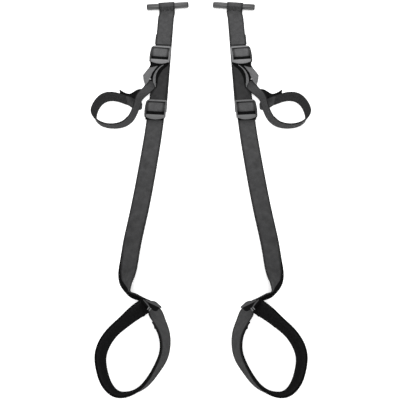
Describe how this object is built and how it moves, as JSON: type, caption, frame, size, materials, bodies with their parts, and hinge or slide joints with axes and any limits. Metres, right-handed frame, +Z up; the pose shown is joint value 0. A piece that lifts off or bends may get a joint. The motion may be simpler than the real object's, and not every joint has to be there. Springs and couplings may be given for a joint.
{
  "type": "door strap pair",
  "caption": "Door-hung exercise strap pair: anchor bars, webbing, sliding adjusters, hand cuffs and padded foot loops, laid flat.",
  "frame": {"origin": "bottom centre of the pair's box, on the surface it lies on", "axes": "+Y towards the anchor bars, +X from the left strap to the right strap, +Z up"},
  "size_m": [0.5074, 0.9696, 0.0441],
  "materials": {
    "webbing": "woven polypropylene webbing",
    "cuff_webbing": "narrow woven webbing",
    "plush_lining": "soft brushed padding",
    "cuff_lining_fabric": "brushed loop fabric",
    "hook_tape": "fine hook tape",
    "buckle_plastic": "satin moulded nylon",
    "bar_plastic": "satin tube",
    "thread": "bonded thread"
  },
  "bodies": {
    "left_strap": {"left_hanger_strap": "webbing", "left_hanger_stitching": "thread", "left_front_strap": "webbing", "left_back_strap": "webbing"},
    "left_bar": {"left_anchor_bar": "bar_plastic", "left_anchor_bar_plugs": "bar_plastic"},
    "left_cuff_carriage": {"left_connector_outer_fold": "webbing", "left_connector_inner_fold": "webbing", "left_connector_tack": "thread"},
    "left_upper_adjuster": {"left_upper_buckle": "buckle_plastic", "left_upper_webbing_turn": "webbing"},
    "left_lower_adjuster": {"left_lower_buckle": "buckle_plastic", "left_lower_webbing_turn": "webbing"},
    "left_cuff": {"left_cuff_band": "cuff_webbing", "left_cuff_lining": "cuff_lining_fabric", "left_cuff_hook_tape": "hook_tape", "left_cuff_stitching": "thread"},
    "left_closure_tab": {"left_cuff_tab": "cuff_webbing", "left_cuff_tab_tape": "hook_tape"},
    "left_foot_loop": {"left_loop_webbing": "webbing", "left_loop_lining": "plush_lining", "left_loop_stitching": "thread", "left_knot_tail": "webbing", "left_loop_tack": "thread"},
    "right_strap": {"right_hanger_strap": "webbing", "right_hanger_stitching": "thread", "right_front_strap": "webbing", "right_back_strap": "webbing"},
    "right_bar": {"right_anchor_bar": "bar_plastic", "right_anchor_bar_plugs": "bar_plastic"},
    "right_cuff_carriage": {"right_connector_outer_fold": "webbing", "right_connector_inner_fold": "webbing", "right_connector_tack": "thread"},
    "right_upper_adjuster": {"right_upper_buckle": "buckle_plastic", "right_upper_webbing_turn": "webbing"},
    "right_lower_adjuster": {"right_lower_buckle": "buckle_plastic", "right_lower_webbing_turn": "webbing"},
    "right_cuff": {"right_cuff_band": "cuff_webbing", "right_cuff_lining": "cuff_lining_fabric", "right_cuff_hook_tape": "hook_tape", "right_cuff_stitching": "thread"},
    "right_closure_tab": {"right_cuff_tab": "cuff_webbing", "right_cuff_tab_tape": "hook_tape"},
    "right_foot_loop": {"right_loop_webbing": "webbing", "right_loop_lining": "plush_lining", "right_loop_stitching": "thread", "right_knot_tail": "webbing", "right_loop_tack": "thread"}
  },
  "joints": [
    {"name": "left_bar_spin", "type": "hinge", "parent": "left_strap", "child": "left_bar", "pos_m": [-0.0845, 0.47324, 0.0094], "axis": [0.9968, 0.0802, 0], "continuous": true},
    {"name": "left_upper_slide", "type": "slide", "parent": "left_strap", "child": "left_cuff_carriage", "axis": [0.0497, 0.9988, 0], "range_m": [-0.005, 0.006]},
    {"name": "left_upper_buckle_tilt", "type": "hinge", "parent": "left_cuff_carriage", "child": "left_upper_adjuster", "pos_m": [-0.09339, 0.3442, 0.0038], "axis": [-0.9988, 0.0497, 0], "range_deg": [0, 20]},
    {"name": "left_cuff_swing", "type": "hinge", "parent": "left_cuff_carriage", "child": "left_cuff", "pos_m": [-0.119, 0.23854, 0.0054], "axis": [0, 0, -1], "range_deg": [0, 25]},
    {"name": "left_tab_peel", "type": "hinge", "parent": "left_cuff", "child": "left_closure_tab", "pos_m": [-0.139, 0.20354, 0.002], "axis": [0, 0, -1], "range_deg": [0, 50]},
    {"name": "left_lower_slide", "type": "slide", "parent": "left_strap", "child": "left_lower_adjuster", "axis": [0.0558, 0.9984, 0], "range_m": [-0.04, 0]},
    {"name": "left_loop_swing", "type": "hinge", "parent": "left_strap", "child": "left_foot_loop", "pos_m": [-0.106, -0.30196, 0.02], "axis": [0, 0, 1], "range_deg": [-10, 10]},
    {"name": "right_bar_spin", "type": "hinge", "parent": "right_strap", "child": "right_bar", "pos_m": [0.0845, 0.47324, 0.0094], "axis": [0.9968, -0.0802, 0], "continuous": true},
    {"name": "right_upper_slide", "type": "slide", "parent": "right_strap", "child": "right_cuff_carriage", "axis": [-0.0497, 0.9988, 0], "range_m": [-0.005, 0.006]},
    {"name": "right_upper_buckle_tilt", "type": "hinge", "parent": "right_cuff_carriage", "child": "right_upper_adjuster", "pos_m": [0.09339, 0.3442, 0.0038], "axis": [-0.9988, -0.0497, 0], "range_deg": [0, 20]},
    {"name": "right_cuff_swing", "type": "hinge", "parent": "right_cuff_carriage", "child": "right_cuff", "pos_m": [0.119, 0.23854, 0.0054], "axis": [0, 0, 1], "range_deg": [0, 25]},
    {"name": "right_tab_peel", "type": "hinge", "parent": "right_cuff", "child": "right_closure_tab", "pos_m": [0.139, 0.20354, 0.002], "axis": [0, 0, 1], "range_deg": [0, 50]},
    {"name": "right_lower_slide", "type": "slide", "parent": "right_strap", "child": "right_lower_adjuster", "axis": [-0.0558, 0.9984, 0], "range_m": [-0.04, 0]},
    {"name": "right_loop_swing", "type": "hinge", "parent": "right_strap", "child": "right_foot_loop", "pos_m": [0.106, -0.30196, 0.02], "axis": [0, 0, -1], "range_deg": [-10, 10]},
    {"name": "strap_spacing", "type": "slide", "parent": "left_strap", "child": "right_strap", "axis": [1, 0, 0], "range_m": [-0.05, 0.15]}
  ]
}
